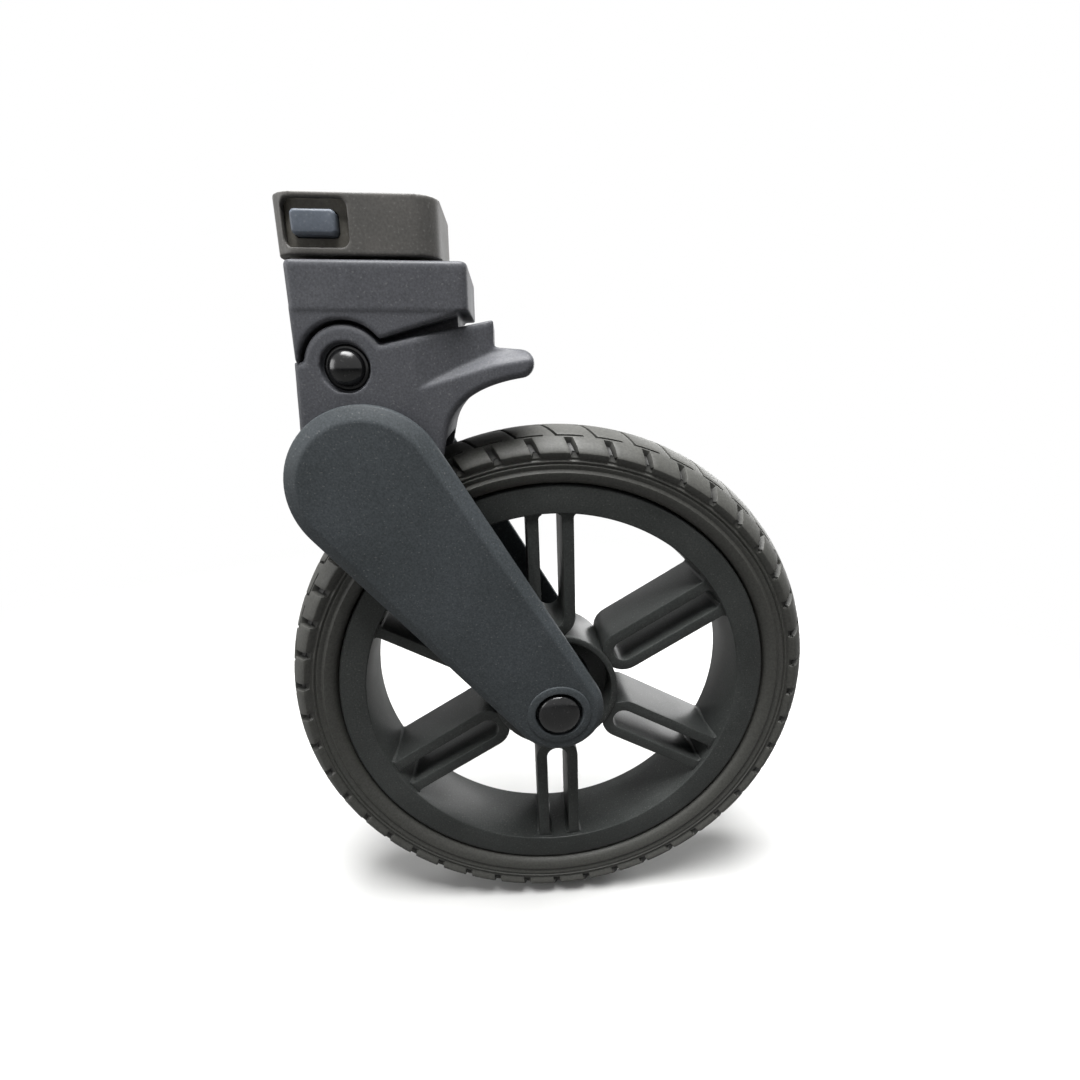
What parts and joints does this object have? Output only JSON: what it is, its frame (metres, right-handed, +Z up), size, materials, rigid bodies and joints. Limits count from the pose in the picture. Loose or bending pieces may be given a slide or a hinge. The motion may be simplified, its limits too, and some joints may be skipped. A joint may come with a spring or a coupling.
{
  "type": "front swivel caster unit",
  "caption": "Front swivel caster corner of a wheeled chair: leg end with release button, swivel head, rubber-sprung fork and spoked wheel with solid tyre.",
  "frame": {"origin": "on the swivel axis, at the leg end's flat top face", "axes": "+Z up along the swivel axis, +X back along the trail towards the wheel, +Y along the axle, away from the button side"},
  "size_m": [0.1999, 0.0564, 0.2638],
  "materials": {
    "grey_moulding": "moulded satin grey",
    "leg_moulding": "moulded semi-gloss grey",
    "arm_moulding": "fine moulded grain, blue-grey",
    "button_moulding": "moulded satin blue-grey",
    "black_moulding": "satin black",
    "cap_gloss": "polished black",
    "tyre_rubber": "moulded solid tyre",
    "spring_rubber": "moulded rubber block",
    "steel": "zinc plated and ground",
    "bronze": "sintered bronze"
  },
  "bodies": {
    "leg": {"leg_shell": "leg_moulding", "leg_plug": "black_moulding", "plug_screw_1": "steel", "plug_screw_2": "steel", "swivel_stem": "steel", "dust_washer": "black_moulding", "button_spring": "steel"},
    "button": {"release_button": "button_moulding", "latch_plate": "steel"},
    "swivel_head": {"swivel_collar": "grey_moulding", "stem_bearing_upper": "steel", "stem_bearing_lower": "steel", "stem_spacer": "steel", "retaining_ring": "steel", "pivot_bush_near": "bronze", "pivot_bush_far": "bronze"},
    "fork": {"fork_crown": "grey_moulding", "suspension_block": "spring_rubber", "pivot_pin": "steel", "pivot_cap_near": "cap_gloss", "pivot_cap_far": "cap_gloss", "fork_arm_near": "arm_moulding", "fork_arm_far": "arm_moulding", "arm_dowel_near": "steel", "arm_dowel_far": "steel", "arm_screw_near_1": "steel", "arm_screw_near_2": "steel", "arm_screw_near_3": "steel", "arm_screw_far_1": "steel", "arm_screw_far_2": "steel", "arm_screw_far_3": "steel", "axle_bolt": "steel", "axle_nut": "steel", "axle_washer_near": "steel", "axle_washer_far": "steel", "axle_cap_near": "cap_gloss", "axle_cap_far": "cap_gloss"},
    "wheel": {"wheel_rim": "black_moulding", "wheel_hub": "black_moulding", "wheel_spoke_1": "black_moulding", "wheel_spoke_2": "black_moulding", "wheel_spoke_3": "black_moulding", "wheel_spoke_4": "black_moulding", "wheel_spoke_5": "black_moulding", "wheel_spoke_6": "black_moulding", "tyre": "tyre_rubber", "wheel_bearing_near": "steel", "wheel_bearing_far": "steel", "hub_sleeve": "steel"}
  },
  "joints": [
    {"name": "button_press", "type": "slide", "parent": "leg", "child": "button", "axis": [0, 1, 0], "range_m": [0, 0.0022], "stiffness_N_per_m": 500, "springref_m": -0.003, "deforming": ["button_spring"]},
    {"name": "swivel", "type": "hinge", "parent": "leg", "child": "swivel_head", "pos_m": [0, 0, -0.0175], "axis": [0, 0, 1], "continuous": true},
    {"name": "suspension", "type": "hinge", "parent": "swivel_head", "child": "fork", "pos_m": [-0.0114, 0, -0.0453], "axis": [0, -1, 0], "range_deg": [0, 4], "stiffness_Nm_per_rad": 160, "springref_deg": -1.72, "deforming": ["suspension_block"]},
    {"name": "wheel_spin", "type": "hinge", "parent": "fork", "child": "wheel", "pos_m": [0.0525, 0, -0.1638], "axis": [0, 1, 0], "continuous": true}
  ]
}
